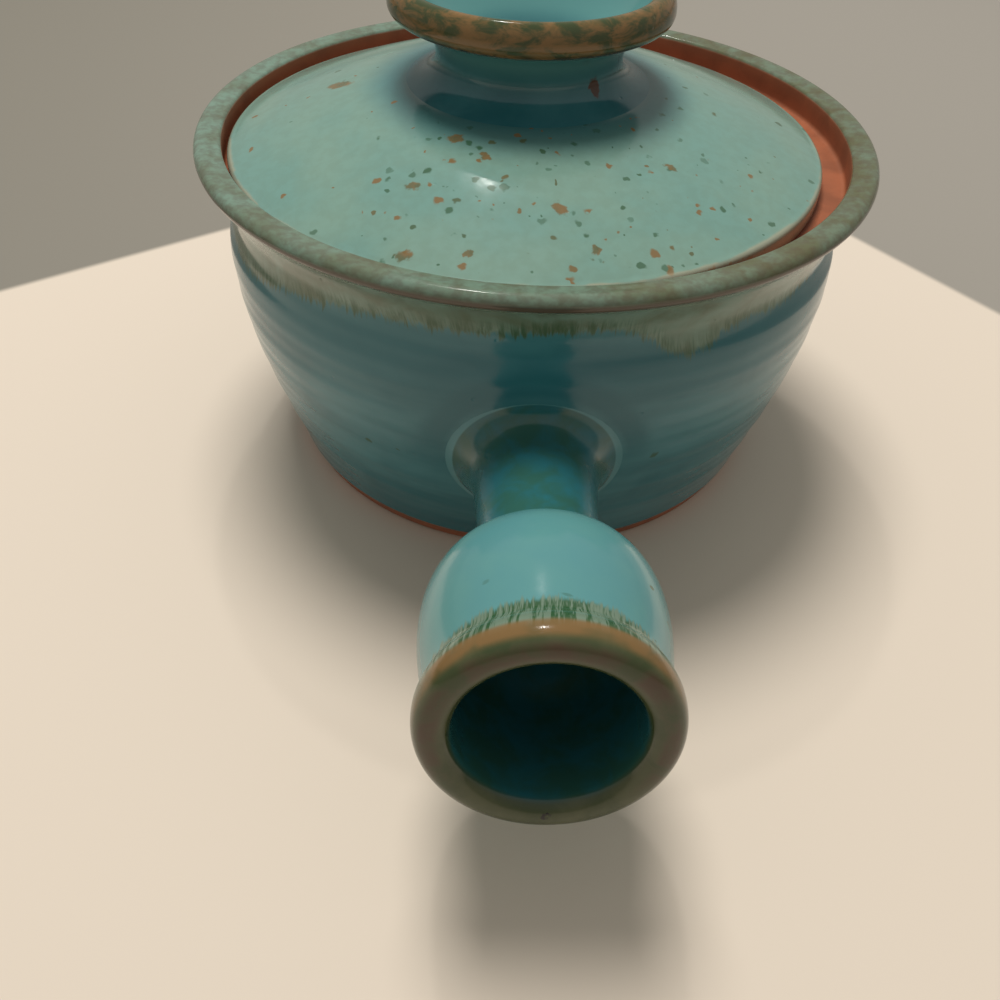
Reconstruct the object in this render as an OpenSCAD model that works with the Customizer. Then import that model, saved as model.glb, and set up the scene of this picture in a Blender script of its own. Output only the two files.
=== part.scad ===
// Lidded soup bowl in glazed earthenware, with a hollow handle and a cup-shaped knob.
// The bowl stands on the plane z = 0 with its axis on Z, and the handle points along -Y.

/* [Bowl] */
// Outer diameter over the rolled rim
rim_d = 140; // [134:1:160]
// Height from the table to the top of the rim
bowl_h = 71.5; // [68:0.5:84]
// How far the shoulder, the widest part of the wall, stands in from the rim's edge
shoulder_in = 4.5; // [2:0.1:7]
// Depth of the shoulder below the top of the rim
shoulder_drop = 21.5; // [19:0.5:26]
// How far the waist pressed in under the rim stands in from the rim's edge
waist_in = 5.8; // [5:0.1:8]
// Depth of the waist below the top of the rim
waist_drop = 13.5; // [11.5:0.5:16]
// Thickness of the thrown wall
wall = 4.5; // [3.5:0.1:6]
// Thickness of the floor inside the foot ring
floor_t = 5; // [3.5:0.1:7]
// Radius of the rolled outer edge of the rim
rim_roll = 1.6; // [1:0.1:2.2]

/* [Foot] */
// Outer diameter of the trimmed foot
foot_d = 109; // [100:1:114]
// Width of the ring that touches the table
foot_ring_w = 6; // [4:0.5:9]
// Depth of the recess turned inside the foot ring
foot_recess = 2.5; // [1:0.1:4]
// Softened bottom edge of the foot
foot_edge = 0.7; // [0.3:0.1:1.2]

/* [Gallery] */
// Width of the rim seen from above
rim_w = 5.5; // [4:0.1:7]
// Depth of the ledge below the top of the rim
gallery_depth = 6; // [4.5:0.1:8]
// Width of the flat ledge that carries the lid
ledge_w = 8.5; // [7:0.1:11]
// Thickness of the ledge at its inner edge
ledge_t = 3.5; // [2.5:0.1:5]

/* [Lid] */
// Gap left all round between the lid and the gallery when the lid is centred
lid_gap = 3.5; // [1:0.1:4]
// Smallest gap left where the lid has slipped to one side
lid_near_gap = 0.4; // [0.3:0.05:0.9]
// Direction in which the lid has slipped, counted from +X
lid_slip_dir = 222; // [0:1:359]
// Thickness of the lid's outer edge
lid_edge_t = 4; // [3:0.1:5]
// Height of the dome from the edge to the crown
lid_rise = 11.4; // [8:0.1:16]
// Thickness of the domed part of the lid
lid_t = 4.5; // [3.5:0.1:6]
// Depth of the flange that keeps the lid in place
flange_h = 5; // [3:0.5:8]
// Thickness of the flange
flange_t = 3.6; // [3:0.1:5]
// Gap between the flange and the ledge once the lid's edge has stopped at the wall
flange_clear = 0.6; // [0.4:0.1:1.5]

/* [Knob] */
// Height of the knob above the crown of the lid
knob_h = 18.6; // [15:0.1:24]
// Outer diameter of the knob's rolled lip
knob_d = 55.3; // [50:0.1:60]
// Diameter of the knob's neck
knob_neck_d = 37; // [32:0.5:40]
// Diameter of the knob's foot on the lid
knob_foot_d = 50; // [46:0.5:52]
// Wall of the knob at its neck
knob_wall = 4.6; // [3.5:0.1:6]
// Floor of the knob's cup
knob_floor = 3.4; // [2.5:0.1:5]

/* [Handle] */
// Height at which the handle's axis meets the wall
handle_z = 31.2; // [28:0.2:33]
// Upward tilt of the handle
handle_tilt = 8; // [3:0.5:12]
// Length of the handle from the wall to the face of its lip
handle_len = 68.4; // [60:0.2:80]
// Diameter of the handle where it is joined to the wall
root_d = 22.4; // [20:0.2:24]
// Diameter at the thin end of the neck, next to the bulb
neck_d = 20.6; // [18:0.2:22]
// Distance from the wall to the crease between neck and bulb
crease_at = 33.4; // [28:0.2:35]
// Diameter of the bulb
bulb_d = 38.2; // [34:0.2:44]
// Distance from the widest part of the bulb to the face of the lip
bulb_back = 20.4; // [18:0.2:22]
// Outer diameter of the handle's rolled lip
lip_d = 38; // [34:0.2:42]
// Length of the rolled lip along the handle
lip_len = 8; // [6:0.2:9]
// Diameter of the open mouth
mouth_d = 26.8; // [20:0.2:28]
// Wall of the handle at the bulb
bulb_wall = 4; // [3:0.1:5]
// Diameter of the bore through the neck
bore_d = 13.6; // [11:0.2:15]

/* [Root coil] */
// Width of the clay coil worked into the corner between handle and wall
coil_w = 5.2; // [3:0.1:7]
// Reach of the coil from the wall along the handle
coil_len = 9; // [6:0.1:11]

/* [Hidden] */
$fn = 96;

rim_r = rim_d / 2;
foot_r = foot_d / 2;
shoulder_r = rim_r - shoulder_in;
shoulder_z = bowl_h - shoulder_drop;
waist_r = rim_r - waist_in;
waist_z = bowl_h - waist_drop;
gallery_r = rim_r - rim_w;
ledge_z = bowl_h - gallery_depth;
ledge_r = gallery_r - ledge_w;
floor_z = foot_recess + floor_t;
// Sharpness of the swelling from foot to shoulder, 1 being a plain quarter of a sine wave
belly_power = 1.1;
// Steps in the smooth outlines: one for the long wall, one for each short curve
wall_steps = 16;
curve_steps = 8;
// Angles at which the flare under the rim joins its roll, the roll joins the rim's top, and the
// top joins the edge above the gallery
roll_start = -60;
roll_end = 80;
inner_start = 100;
// Height at which the inside leaves the wall and turns into the floor
turn_rise = 18;
turn_z = floor_z + turn_rise;
// Run of the inside curve from the wall to the flat of the floor, and the pull at its two ends
turn_run = 22;
turn_wall_pull = 9;
turn_floor_pull = 12;
// Rounding of the bare inner edge of the rim, and of the ledge's inner edge
inner_edge = 0.9;
ledge_edge = 0.6;
// Inner slope of the foot ring
foot_slope = 1.5;

lid_r = gallery_r - lid_gap;
lid_slip = max(lid_gap - lid_near_gap, 0);
lid_x = lid_slip * cos(lid_slip_dir);
lid_y = lid_slip * sin(lid_slip_dir);
flange_r = ledge_r - lid_gap - flange_clear;
knob_foot_r = knob_foot_d / 2;
crown_r = knob_foot_r;
crown_z = ledge_z + lid_edge_t + lid_rise;
// Roundings of the lid's upper and lower outer edge
lid_top_edge = 1.1;
lid_low_edge = 0.7;
// Fullness of the dome: 1 is a straight cone, more is rounder
dome_power = 1.3;
// Height of the hollow under the crown
inner_crown_z = crown_z - lid_t;

knob_r = knob_d / 2;
knob_neck_r = knob_neck_d / 2;
// Heights of the knob's neck, of the underside of its lip and of its widest line, from the crown
knob_neck_z = 0.28 * knob_h;
knob_under_z = knob_h - 6.6;
knob_wide_z = knob_h - 4;
// Radial thickness of the knob's lip
knob_lip_t = 4.7;

root_r = root_d / 2;
neck_r = neck_d / 2;
bulb_r = bulb_d / 2;
lip_r = lip_d / 2;
mouth_r = mouth_d / 2;
bore_r = bore_d / 2;
bulb_at = handle_len - bulb_back;
lip_at = handle_len - lip_len;
// Radius of the groove between bulb and lip
pinch_r = min(bulb_r, lip_r) - 1.2;
// Length of plain tube that is cut away where the handle enters the bowl's outline
root_spare = 16;
// The wall's radius where the handle's axis meets it, and its lean out from the upright there
root_wall_r = belly_r(handle_z);
wall_lean = atan(belly_r(handle_z + 0.5) - belly_r(handle_z - 0.5));
// The handle's tube keeps its full width this far out, past the end of the coil
root_plain = coil_len + 2;
// How far the coil's thin end runs in behind the surface of the tube, which trims it
coil_tuck = 4.5;

// Points of a cubic curve from a to d, pulled towards b and c
function bezier(a, b, c, d, n = curve_steps) = [for (i = [0:n])
    let (t = i / n, s = 1 - t)
    s * s * s * a + 3 * s * s * t * b + 3 * s * t * t * c + t * t * t * d];

// Points of an arc about [r, z]
function arc(r, z, radius, from, to, n = curve_steps) = [for (i = [0:n])
    let (a = from + (to - from) * i / n)
    [r + radius * cos(a), z + radius * sin(a)]];

// A list without its first point, so that joined curves don't repeat a point
function tail(list) = [for (i = [1:len(list) - 1]) list[i]];

// Outer radius of the bowl's wall below the shoulder, a swelling quarter wave
function belly_r(z) = foot_r + (shoulder_r - foot_r) * pow(sin(90 * z / shoulder_z), belly_power);

// Outer radius between shoulder and waist, half a cosine wave
function throat_r(z) = shoulder_r
    - (shoulder_r - waist_r) * (1 - cos(180 * (z - shoulder_z) / (waist_z - shoulder_z))) / 2;

function wall_r(z) = z < shoulder_z ? belly_r(z) : throat_r(z);

// Bowl's outline from the table up to the start of the rim's roll
rim_roll_r = rim_r - rim_roll;
rim_roll_z = bowl_h - rim_roll;
flare_end = [rim_roll_r + rim_roll * cos(roll_start), rim_roll_z + rim_roll * sin(roll_start)];
flare_pull = 3.5;
bowl_outside = concat(
    [[foot_r - foot_edge, 0]],
    [for (i = [0:wall_steps])
        let (z = foot_edge + (shoulder_z - foot_edge) * i / wall_steps) [belly_r(z), z]],
    [for (i = [1:curve_steps])
        let (z = shoulder_z + (waist_z - shoulder_z) * i / curve_steps) [throat_r(z), z]],
    tail(bezier([waist_r, waist_z], [waist_r, waist_z + flare_pull],
        flare_end + flare_pull * [sin(roll_start), -cos(roll_start)], flare_end)));

// Bowl's outline from the rim's roll over the gallery to the middle of the floor
ledge_under_z = ledge_z - ledge_t;
neck_in_z = min(waist_z, ledge_under_z - 3);
turn_r = wall_r(turn_z) - wall;
turn_slope = wall_r(turn_z) - wall_r(turn_z - 1);
bowl_inside = concat(
    tail(arc(rim_roll_r, rim_roll_z, rim_roll, roll_start, roll_end)),
    arc(gallery_r + inner_edge, bowl_h - inner_edge - 0.3, inner_edge, inner_start, 180, 4),
    [[gallery_r, ledge_z], [ledge_r + ledge_edge, ledge_z], [ledge_r, ledge_z - ledge_edge],
     [ledge_r, ledge_under_z]],
    [for (i = [0:wall_steps])
        let (z = neck_in_z + (turn_z - neck_in_z) * i / wall_steps) [wall_r(z) - wall, z]],
    tail(bezier([turn_r, turn_z], [turn_r - turn_wall_pull * turn_slope, turn_z - turn_wall_pull],
        [turn_r - turn_run + turn_floor_pull, floor_z], [turn_r - turn_run, floor_z])),
    [[0, floor_z]]);

module bowl() {
    color("CadetBlue")
    rotate_extrude()
    polygon(concat(
        bowl_outside, bowl_inside,
        [[0, foot_recess], [foot_r - foot_ring_w - foot_slope, foot_recess],
         [foot_r - foot_ring_w, 0]]));
}

// Everything inside the bowl's outer outline, used to trim what is joined to it
module bowl_envelope() {
    rotate_extrude()
    polygon(concat([[0, 0]], bowl_outside, [[0, flare_end[1]]]));
}

// Puts a shape that is turned about Z, with its foot on the wall, in the handle's place
module at_handle(tilt = handle_tilt) {
    translate([0, -root_wall_r, handle_z]) rotate([90 - tilt, 0, 0]) children();
}

// Outline of the handle's tube, from the wall outwards: [radius, distance]
handle_outside = concat(
    [[root_r, -root_spare]],
    bezier([root_r, root_plain], [root_r - 0.3, root_plain + 5], [neck_r, crease_at - 12],
        [neck_r, crease_at]),
    tail(bezier([neck_r, crease_at], [neck_r + 5, crease_at + 0.6],
        [bulb_r, bulb_at - 9.5], [bulb_r, bulb_at], 12)),
    tail(bezier([bulb_r, bulb_at], [bulb_r, bulb_at + 5.5],
        [pinch_r + 0.2, lip_at - 3], [pinch_r, lip_at])),
    tail(bezier([pinch_r, lip_at], [pinch_r, lip_at + 1.6],
        [lip_r, lip_at + 1.8], [lip_r, lip_at + 0.55 * lip_len])),
    tail(bezier([lip_r, lip_at + 0.55 * lip_len], [lip_r, handle_len - 1.2],
        [lip_r - 1, handle_len], [(lip_r + mouth_r) / 2, handle_len])),
    tail(bezier([(lip_r + mouth_r) / 2, handle_len], [mouth_r + 1, handle_len],
        [mouth_r, handle_len - 1], [mouth_r, handle_len - 2.8])));

// Outline of the hollow, from the mouth back to the wall
handle_hollow = concat(
    tail(bezier([mouth_r, handle_len - 2.8], [mouth_r, lip_at],
        [bulb_r - bulb_wall, bulb_at + 6], [bulb_r - bulb_wall, bulb_at])),
    tail(bezier([bulb_r - bulb_wall, bulb_at], [bulb_r - bulb_wall, bulb_at - 8],
        [bore_r + 3, crease_at + 3], [bore_r, crease_at])),
    [[bore_r, -root_spare]]);

module handle() {
    color("MediumTurquoise")
    difference() {
        at_handle() rotate_extrude() polygon(concat(handle_outside, handle_hollow));
        bowl_envelope();
    }
}

// The coil stands square on the leaning wall, and the handle's tube passes through it
module handle_root_coil() {
    color("SteelBlue")
    difference() {
        at_handle(-wall_lean)
        rotate_extrude()
        polygon(concat(
            [[0, -root_spare], [root_r + coil_w, -root_spare], [root_r + coil_w, 0]],
            tail(bezier([root_r + coil_w, 0], [root_r + coil_w * 0.35, coil_len * 0.12],
                [root_r - coil_tuck * 0.4, coil_len * 0.6], [root_r - coil_tuck, coil_len])),
            [[0, coil_len]]));
        at_handle() translate([0, 0, -root_spare]) cylinder(r = root_r, h = root_spare + 2 * root_plain);
        bowl_envelope();
    }
}

// Top of the lid's dome at radius r
function dome_z(r) = crown_z
    - lid_rise * pow((r - crown_r) / (lid_r - lid_top_edge - crown_r), dome_power);

lid_profile = concat(
    [[0, crown_z]],
    [for (i = [0:wall_steps])
        let (r = crown_r + (lid_r - lid_top_edge - crown_r) * i / wall_steps) [r, dome_z(r)]],
    tail(arc(lid_r - lid_top_edge, ledge_z + lid_edge_t - lid_top_edge, lid_top_edge, 90, 0, 4)),
    arc(lid_r - lid_low_edge, ledge_z + lid_low_edge, lid_low_edge, 0, -90, 3),
    [[flange_r, ledge_z], [flange_r - 0.4, ledge_z - flange_h],
     [flange_r - flange_t, ledge_z - flange_h]],
    bezier([flange_r - flange_t, ledge_z - flange_h + 1],
        [flange_r - flange_t, ledge_z + 1.5],
        [flange_r * 0.72, dome_z(flange_r * 0.72) - lid_t],
        [crown_r, inner_crown_z - 0.4], 10),
    [[0, inner_crown_z]]);

// Puts a shape on the axis of the lid, where it lies in the gallery
module at_lid() {
    translate([lid_x, lid_y, 0]) children();
}

module lid() {
    color("MediumAquamarine")
    at_lid() rotate_extrude() polygon(lid_profile);
}

// Outline of the knob from its foot over the lip into the cup, measured from the crown
knob_lip_mid = knob_r - knob_lip_t / 2;
knob_cup_r = knob_neck_r - knob_wall;
knob_profile = concat(
    [[0, 0]],
    bezier([knob_foot_r, 0], [knob_neck_r + 1.6, 0.7],
        [knob_neck_r, knob_neck_z * 0.5], [knob_neck_r, knob_neck_z]),
    tail(bezier([knob_neck_r, knob_neck_z], [knob_neck_r, knob_neck_z + 3.4],
        [knob_r - 6.5, knob_under_z - 1], [knob_r - 3.2, knob_under_z])),
    tail(bezier([knob_r - 3.2, knob_under_z], [knob_r - 1.4, knob_under_z + 0.5],
        [knob_r, knob_under_z + 1.1], [knob_r, knob_wide_z])),
    tail(bezier([knob_r, knob_wide_z], [knob_r, knob_h - 1.8],
        [knob_lip_mid + 1.3, knob_h], [knob_lip_mid, knob_h])),
    tail(bezier([knob_lip_mid, knob_h], [knob_lip_mid - 1.2, knob_h],
        [knob_r - knob_lip_t, knob_h - 0.9], [knob_r - knob_lip_t - 0.3, knob_h - 2.4])),
    tail(bezier([knob_r - knob_lip_t - 0.3, knob_h - 2.4], [knob_r - 7.6, knob_h - 7.2],
        [knob_cup_r + 1, knob_floor + 4.6], [knob_cup_r - 1, knob_floor + 1.6])),
    tail(bezier([knob_cup_r - 1, knob_floor + 1.6], [knob_cup_r - 2.2, knob_floor],
        [knob_cup_r - 5, knob_floor], [knob_cup_r - 8, knob_floor], 5)),
    [[0, knob_floor]]);

module knob() {
    color("DarkKhaki")
    at_lid() translate([0, 0, crown_z]) rotate_extrude() polygon(knob_profile);
}

bowl();
handle();
handle_root_coil();
lid();
knob();
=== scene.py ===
"""Dresses the lidded soup bowl: thrown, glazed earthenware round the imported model.

All lengths are metres in the part's own frame: the foot stands on z = 0, the bowl turns about Z and
the handle points along -Y. Every thrown piece is a profile carried round an axis. Every glaze is made
from a few node groups that read Object coordinates, so it stays on the piece when the lid is lifted.
"""

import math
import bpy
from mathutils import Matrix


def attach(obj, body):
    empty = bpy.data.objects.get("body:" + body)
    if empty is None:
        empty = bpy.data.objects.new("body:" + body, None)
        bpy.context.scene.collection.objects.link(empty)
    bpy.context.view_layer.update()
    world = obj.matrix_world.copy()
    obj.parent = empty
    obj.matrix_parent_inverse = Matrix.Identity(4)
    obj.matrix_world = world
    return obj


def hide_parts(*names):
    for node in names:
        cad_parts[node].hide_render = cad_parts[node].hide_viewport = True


bl_info = {
    "name": "Lidded soup bowl",
    "version": (1, 0, 0),
    "blender": (4, 5, 0),
    "location": "3D View > Sidebar > Soup bowl",
    "description": "Thrown and glazed pieces for the lidded soup bowl",
    "category": "Object",
}

import bpy
import numpy as np
from bpy.props import FloatProperty, FloatVectorProperty, PointerProperty
from mathutils import Matrix, Vector

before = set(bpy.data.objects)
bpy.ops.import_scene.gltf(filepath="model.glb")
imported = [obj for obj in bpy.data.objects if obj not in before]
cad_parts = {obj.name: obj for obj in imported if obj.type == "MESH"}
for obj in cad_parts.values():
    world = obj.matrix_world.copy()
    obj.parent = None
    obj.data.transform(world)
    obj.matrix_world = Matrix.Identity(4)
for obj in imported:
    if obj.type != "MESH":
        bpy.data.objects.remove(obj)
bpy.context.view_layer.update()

MM = 0.001

SHARP = math.radians(50)         # edges turned by more than this stay crisp
ROLL_R = 1.6 * MM                # radius of the rolled rim
INNER_R = 0.9 * MM               # radius of the rim's inner edge
LEDGE_T = 3.5 * MM               # thickness of the ledge
FLOOR_Z = 7.5 * MM               # height of the bowl's inner floor
GLAZE_BEAD = 0.22 * MM           # step where the glaze stops above the bare foot
LID_EDGE_T = 4 * MM              # thickness of the lid's edge
LID_EDGE_R = 1.1 * MM            # rounding of the lid's edge
KNOB_WALL = 4.6 * MM             # wall of the knob's cup
KNOB_FLOOR = 3.4 * MM            # floor of the knob's cup over the crown
BULB_WALL = 4 * MM               # wall of the handle's bulb
PLAIN_FROM = 11.5 * MM           # distance from the wall at which the cove has run into the neck


def length(name, default, note):
    """A length property in metres, from a default in millimetres."""
    return FloatProperty(name=name, description=note, default=default * MM, unit="LENGTH", precision=5)


def colour(name, default, note):
    """A colour property, in the linear values that the shaders take."""
    return FloatVectorProperty(name=name, description=note, default=default, subtype="COLOR", min=0, max=1)


class BowlSizes(bpy.types.PropertyGroup):
    rim_r: length("Rim radius", 70.0, "Outer radius over the rolled rim")
    height: length("Height", 71.5, "Height of the rim above the table")
    foot_r: length("Foot radius", 54.5, "Outer radius of the trimmed foot")
    shoulder_r: length("Shoulder radius", 65.5, "Radius of the widest part of the wall")
    shoulder_z: length("Shoulder height", 50.0, "Height of the widest part of the wall")
    waist_r: length("Waist radius", 64.2, "Radius of the waist under the rim")
    waist_z: length("Waist height", 58.0, "Height of the waist under the rim")
    wall: length("Wall", 4.5, "Thickness of the thrown wall")
    gallery_r: length("Gallery radius", 64.5, "Radius of the wall round the lid")
    ledge_z: length("Ledge height", 65.5, "Height of the ledge that carries the lid")
    ledge_r: length("Ledge radius", 56.0, "Inner radius of the ledge")
    ridge: length("Throwing ridges", 0.07, "Height of the ridges that the fingers leave")


class LidSizes(bpy.types.PropertyGroup):
    radius: length("Lid radius", 61.0, "Outer radius of the lid")
    slip_x: length("Slip along X", -2.304, "How far the lid has slipped in its gallery along X")
    slip_y: length("Slip along Y", -2.074, "How far the lid has slipped in its gallery along Y")
    crown_z: length("Crown height", 80.9, "Height of the lid where the knob stands on it")
    crown_r: length("Crown radius", 25.0, "Radius of the crown, where the dome starts to fall")
    flange_r: length("Flange radius", 51.9, "Outer radius of the flange under the lid")
    knob_h: length("Knob height", 18.6, "Height of the knob over the crown")
    knob_r: length("Knob radius", 27.65, "Outer radius of the knob's lip")
    knob_neck_r: length("Knob neck radius", 18.5, "Radius of the knob's neck")


class HandleSizes(bpy.types.PropertyGroup):
    root_z: length("Root height", 31.2, "Height at which the handle's axis meets the wall")
    tilt: FloatProperty(name="Tilt", description="Upward tilt of the handle",
                        default=math.radians(8), subtype="ANGLE")
    length: length("Length", 68.4, "Length from the wall to the face of the lip")
    root_r: length("Root radius", 11.2, "Radius of the neck at the wall")
    neck_r: length("Neck radius", 10.3, "Radius of the neck at the bulb")
    crease: length("Crease", 33.4, "Distance from the wall to the crease between neck and bulb")
    bulb_r: length("Bulb radius", 19.1, "Radius of the bulb")
    bulb_at: length("Bulb place", 48.0, "Distance from the wall to the widest part of the bulb")
    lip_r: length("Lip radius", 19.0, "Outer radius of the rolled lip")
    lip_len: length("Lip length", 8.0, "Length of the rolled lip")
    mouth_r: length("Mouth radius", 13.4, "Radius of the open mouth")
    bore_r: length("Bore radius", 6.8, "Radius of the bore through the neck")
    coil: length("Root coil", 6.4, "Reach of the coil smoothed into the corner at the wall")


class GlazeColours(bpy.types.PropertyGroup):
    # Deep teal serves as pooled glaze and as painted shade: under the rim, above the handle's root, round the
    # knob's foot and on the knob's neck
    deep_and_shade: colour("Deep teal", (0.020, 0.125, 0.150), "Glaze where it has pooled thick")
    teal: colour("Teal", (0.070, 0.225, 0.255), "Glaze on the wall")
    turquoise: colour("Turquoise", (0.095, 0.262, 0.255), "Glaze on the handle")
    sage: colour("Sage", (0.180, 0.300, 0.245), "Glaze on the lid")
    olive: colour("Olive", (0.095, 0.100, 0.045), "Glaze that has thinned over an edge")
    moss: colour("Moss", (0.040, 0.056, 0.018), "Thick dark glaze on the lips of handle and knob")
    ochre: colour("Ochre", (0.190, 0.105, 0.035), "Glaze burnt to ochre on a lip")
    green: colour("Copper green", (0.030, 0.085, 0.035), "Dark green specks and fringes")
    clay: colour("Terracotta", (0.330, 0.105, 0.048), "Bare clay")
    umber: colour("Umber", (0.070, 0.030, 0.018), "Dark line where the glaze breaks on an edge")


def sizes():
    """The property groups of the scene: bowl, lid, handle and glaze colours."""
    scene = bpy.context.scene
    return scene.soup_bowl, scene.soup_lid, scene.soup_handle, scene.soup_glaze


# Profiles, in metres: rows of [radius, height]

def bend(a, b, c, d, steps=24):
    """Cubic curve from a to d pulled towards b and c: the four points weighted by the cubic
    Bernstein terms of t."""
    t = np.linspace(0, 1, steps + 1)[:, None]
    s = 1 - t
    return s**3 * np.array(a) + 3 * s * s * t * np.array(b) + 3 * s * t * t * np.array(c) + t**3 * np.array(d)


def soften(corners, radius, steps=5):
    """Polyline with its inner corners rounded: each corner becomes a quadratic curve that starts and
    ends a radius away from it along its two sides."""
    p = np.array(corners, float)
    before, here, after = p[:-2], p[1:-1], p[2:]
    into, out = before - here, after - here
    reach = np.broadcast_to(np.asarray(radius, float), len(here))[:, None]
    a = here + into / np.linalg.norm(into, axis=1)[:, None] * reach
    b = here + out / np.linalg.norm(out, axis=1)[:, None] * reach
    t = np.linspace(0, 1, steps + 1)[None, :, None]
    curve = (1 - t)**2 * a[:, None] + 2 * t * (1 - t) * here[:, None] + t * t * b[:, None]
    return np.vstack([p[:1], curve.reshape(-1, 2), p[-1:]])


def join(*runs):
    """Runs of points laid end to end, with points closer than a micrometre to the last one dropped."""
    points = np.vstack(runs)
    keep = np.r_[True, np.linalg.norm(np.diff(points, axis=0), axis=1) > 1e-6]
    return points[keep]


def fill(points, step):
    """The polyline with points added along its straight runs, so that none is longer than step."""
    gaps = np.linalg.norm(np.diff(points, axis=0), axis=1)
    counts = np.maximum(np.ceil(gaps / step).astype(int), 1)
    place = np.concatenate([[0.0], np.cumsum(gaps)])
    inner = np.repeat(place[:-1], counts) + np.repeat(gaps / counts, counts) * (
        np.arange(counts.sum()) - np.repeat(np.cumsum(counts) - counts, counts))
    along = np.r_[inner, place[-1]]
    return np.column_stack([np.interp(along, place, points[:, k]) for k in (0, 1)])


def ease(x, low, high):
    """0 below low, 1 above high and the smooth cubic step 3t^2 - 2t^3 between them."""
    t = np.clip((x - low) / (high - low), 0, 1)
    return t * t * (3 - 2 * t)


def turned(profile, turns, centre=(0, 0)):
    """Grid of points of a surface of revolution about a vertical axis: x and y are the profile's
    radius times the cosine and sine of the angle, and z is its height."""
    angle = np.arange(turns) * 2 * np.pi / turns
    r, z = profile[:, :1], profile[:, 1:]
    return np.stack([centre[0] + r * np.cos(angle), centre[1] + r * np.sin(angle),
                     np.broadcast_to(z, (len(r), turns))], axis=2)


def skin(name, grid, ends="poles"):
    """Mesh object from a grid of rings of points. With ends="poles" the first and last rings lie on the
    axis and become one point each. With ends="ring" the last ring is joined to the first."""
    rows, turns = grid.shape[:2]
    i, j = np.meshgrid(np.arange(rows - 1), np.arange(turns), indexing="ij")
    k = (j + 1) % turns
    quads = np.stack([i * turns + j, i * turns + k, (i + 1) * turns + k, (i + 1) * turns + j], axis=2)
    points = grid.reshape(-1, 3)
    if ends == "ring":
        j = np.arange(turns)
        k = (j + 1) % turns
        last = (rows - 1) * turns
        quads = np.concatenate([quads.reshape(-1, 4), np.stack([last + j, last + k, k, j], axis=1)])
        faces = quads.tolist()
    else:
        points = np.vstack([grid[0].mean(0), grid[1:-1].reshape(-1, 3), grid[-1].mean(0)])
        quads = quads[1:-1].reshape(-1, 4) - turns + 1
        j = np.arange(turns)
        k = (j + 1) % turns
        top = 1 + (rows - 3) * turns
        first = np.stack([np.zeros_like(j), 1 + k, 1 + j], axis=1)
        last = np.stack([np.full_like(j, len(points) - 1), top + j, top + k], axis=1)
        faces = quads.tolist() + first.tolist() + last.tolist()
    mesh = bpy.data.meshes.new(name)
    mesh.from_pydata(points, [], faces)
    mesh.shade_smooth()
    mesh.set_sharp_from_angle(angle=SHARP)
    mesh.update()
    piece = bpy.data.objects.new(name, mesh)
    bpy.context.scene.collection.objects.link(piece)
    return piece


def finish_piece(piece, material, body, slot, *nodes):
    """Gives a piece its glaze, lets it ride on its body and hides the plain solids it stands for."""
    piece.data.materials.append(material)
    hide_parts(*nodes)
    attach(piece, body)


# Node wiring

class Wiring:
    """Short ways to add nodes to one tree. Every method gives the new node's main output."""

    def __init__(self, tree):
        self.tree = tree

    def node(self, kind, inputs=None, **settings):
        """A node with its settings made and its inputs linked or set."""
        made = self.tree.nodes.new(kind)
        for key, value in settings.items():
            setattr(made, key, value)
        for key, value in (inputs or {}).items():
            socket = made.inputs[key]
            if isinstance(value, bpy.types.NodeSocket):
                self.tree.links.new(value, socket)
            else:
                socket.default_value = value
        return made

    def math(self, operation, a, b=0.0, clamp=False):
        return self.node("ShaderNodeMath", {0: a, 1: b}, operation=operation, use_clamp=clamp).outputs[0]

    def step(self, value, low, high, to_low=0.0, to_high=1.0):
        """Smooth step of value between low and high."""
        return self.node("ShaderNodeMapRange", {"Value": value, "From Min": low, "From Max": high,
                         "To Min": to_low, "To Max": to_high}, interpolation_type="SMOOTHSTEP").outputs[0]

    def mix(self, factor, a, b, blend="MIX"):
        """Colour a going over to colour b with the factor."""
        made = self.node("ShaderNodeMix", data_type="RGBA", blend_type=blend, clamp_factor=True)
        for socket, value in zip((made.inputs[0], made.inputs[6], made.inputs[7]), (factor, a, b)):
            if isinstance(value, bpy.types.NodeSocket):
                self.tree.links.new(value, socket)
            else:
                socket.default_value = value if isinstance(value, float) else tuple(value)[:3] + (1.0,)
        return made.outputs[2]

    def noise(self, vector, scale, detail=3.0, roughness=0.5, distortion=0.0):
        return self.node("ShaderNodeTexNoise", {"Vector": vector, "Scale": scale, "Detail": detail,
                         "Roughness": roughness, "Distortion": distortion}).outputs[0]

    def vector(self, operation, a, b=None, scale=None):
        inputs = {0: a}
        if b is not None:
            inputs[1] = b
        if scale is not None:
            inputs["Scale"] = scale
        made = self.node("ShaderNodeVectorMath", inputs, operation=operation)
        return made.outputs[1] if operation in ("LENGTH", "DISTANCE", "DOT_PRODUCT") else made.outputs[0]

    def parts(self, vector):
        return self.node("ShaderNodeSeparateXYZ", {0: vector}).outputs

    def together(self, x=0.0, y=0.0, z=0.0):
        return self.node("ShaderNodeCombineXYZ", {0: x, 1: y, 2: z}).outputs[0]

    def place(self, vector, location=(0, 0, 0), rotation=(0, 0, 0), scale=(1, 1, 1), kind="POINT"):
        return self.node("ShaderNodeMapping", {"Vector": vector, "Location": location, "Rotation": rotation,
                         "Scale": scale}, vector_type=kind).outputs[0]

    def use(self, group, **inputs):
        """A node group placed in the tree, with its named inputs; words in names are joined by _."""
        made = self.tree.nodes.new("ShaderNodeGroup")
        made.node_tree = bpy.data.node_groups[group]
        for key, value in inputs.items():
            socket = made.inputs[key.replace("_", " ")]
            if isinstance(value, bpy.types.NodeSocket):
                self.tree.links.new(value, socket)
            else:
                socket.default_value = value
        return made.outputs


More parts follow.
